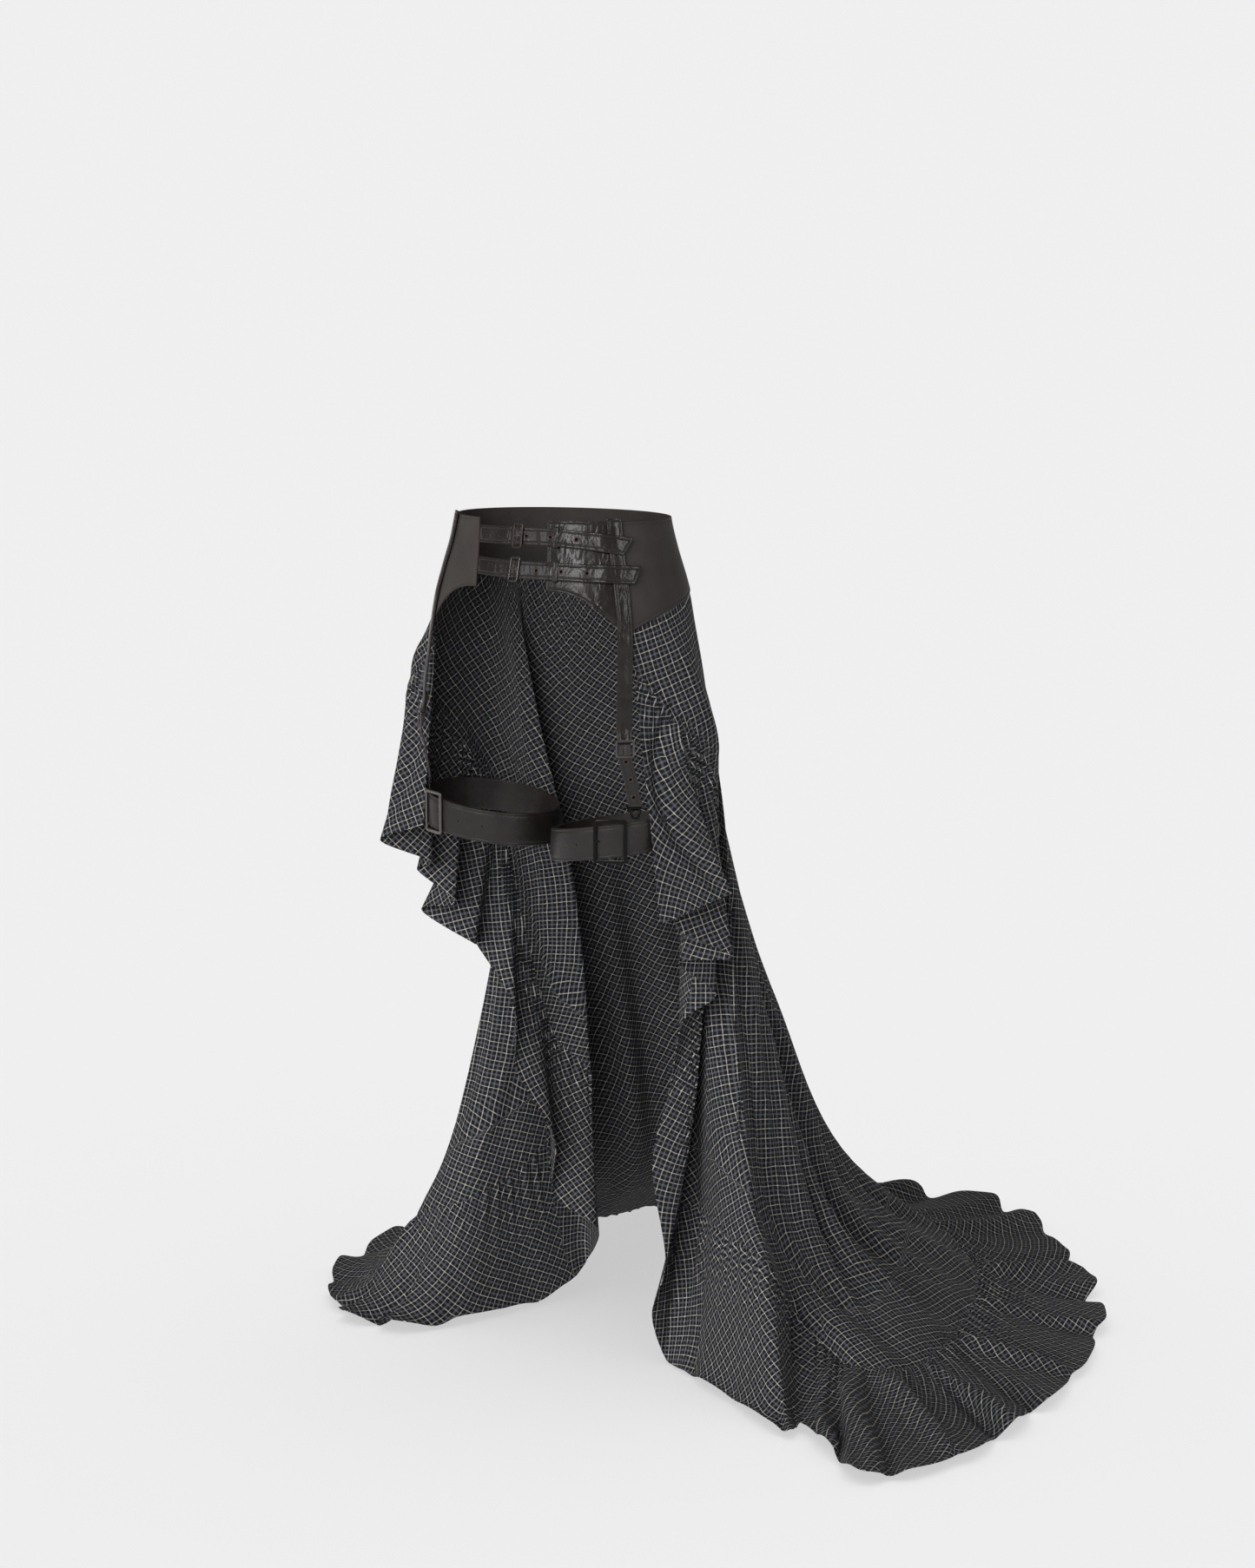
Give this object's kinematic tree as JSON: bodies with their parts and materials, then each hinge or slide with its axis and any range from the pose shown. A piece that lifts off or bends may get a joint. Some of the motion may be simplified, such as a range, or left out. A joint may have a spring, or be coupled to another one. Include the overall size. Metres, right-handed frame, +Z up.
{
  "type": "plaid skirt",
  "caption": "Open-front plaid skirt with a long ruffled train, hung from a leather garter belt with buckled front straps and two thigh bands.",
  "frame": {"origin": "centre of the waist opening, level with the belt's top edge", "axes": "+Z up along the wearer, the wearer faces -Y, the wearer's left is +X, and the floor the train lies on is Z = -1.0"},
  "size_m": [1.0429, 1.0512, 1.0021],
  "materials": {
    "leather": "satin",
    "gloss_leather": "gloss",
    "matte_leather": "matte",
    "gunmetal": "satin",
    "plaid_cloth": "matte"
  },
  "bodies": {
    "root": {"back_yoke": "matte_leather", "buckle_tab_lower": "leather", "buckle_tab_upper": "leather", "front_buckle_lower": "gunmetal", "front_buckle_upper": "gunmetal", "front_panel_left": "leather", "front_panel_right": "leather", "front_strap_lower": "gloss_leather", "front_strap_upper": "gloss_leather", "garter_buckle_left": "gunmetal", "garter_buckle_right": "gunmetal", "garter_clip_left": "gunmetal", "garter_clip_right": "gunmetal", "garter_lower_left": "gloss_leather", "garter_lower_right": "gloss_leather", "garter_strap_left": "gloss_leather", "garter_strap_right": "gloss_leather", "keeper_lower": "leather", "keeper_upper": "leather", "ruffle_back": "plaid_cloth", "ruffle_left": "plaid_cloth", "ruffle_right": "plaid_cloth", "skirt_back": "plaid_cloth", "skirt_left": "plaid_cloth", "skirt_right": "plaid_cloth", "thigh_band_left": "leather", "thigh_band_right": "leather", "thigh_buckle_left": "gunmetal", "thigh_buckle_right": "gunmetal"}
  },
  "joints": []
}
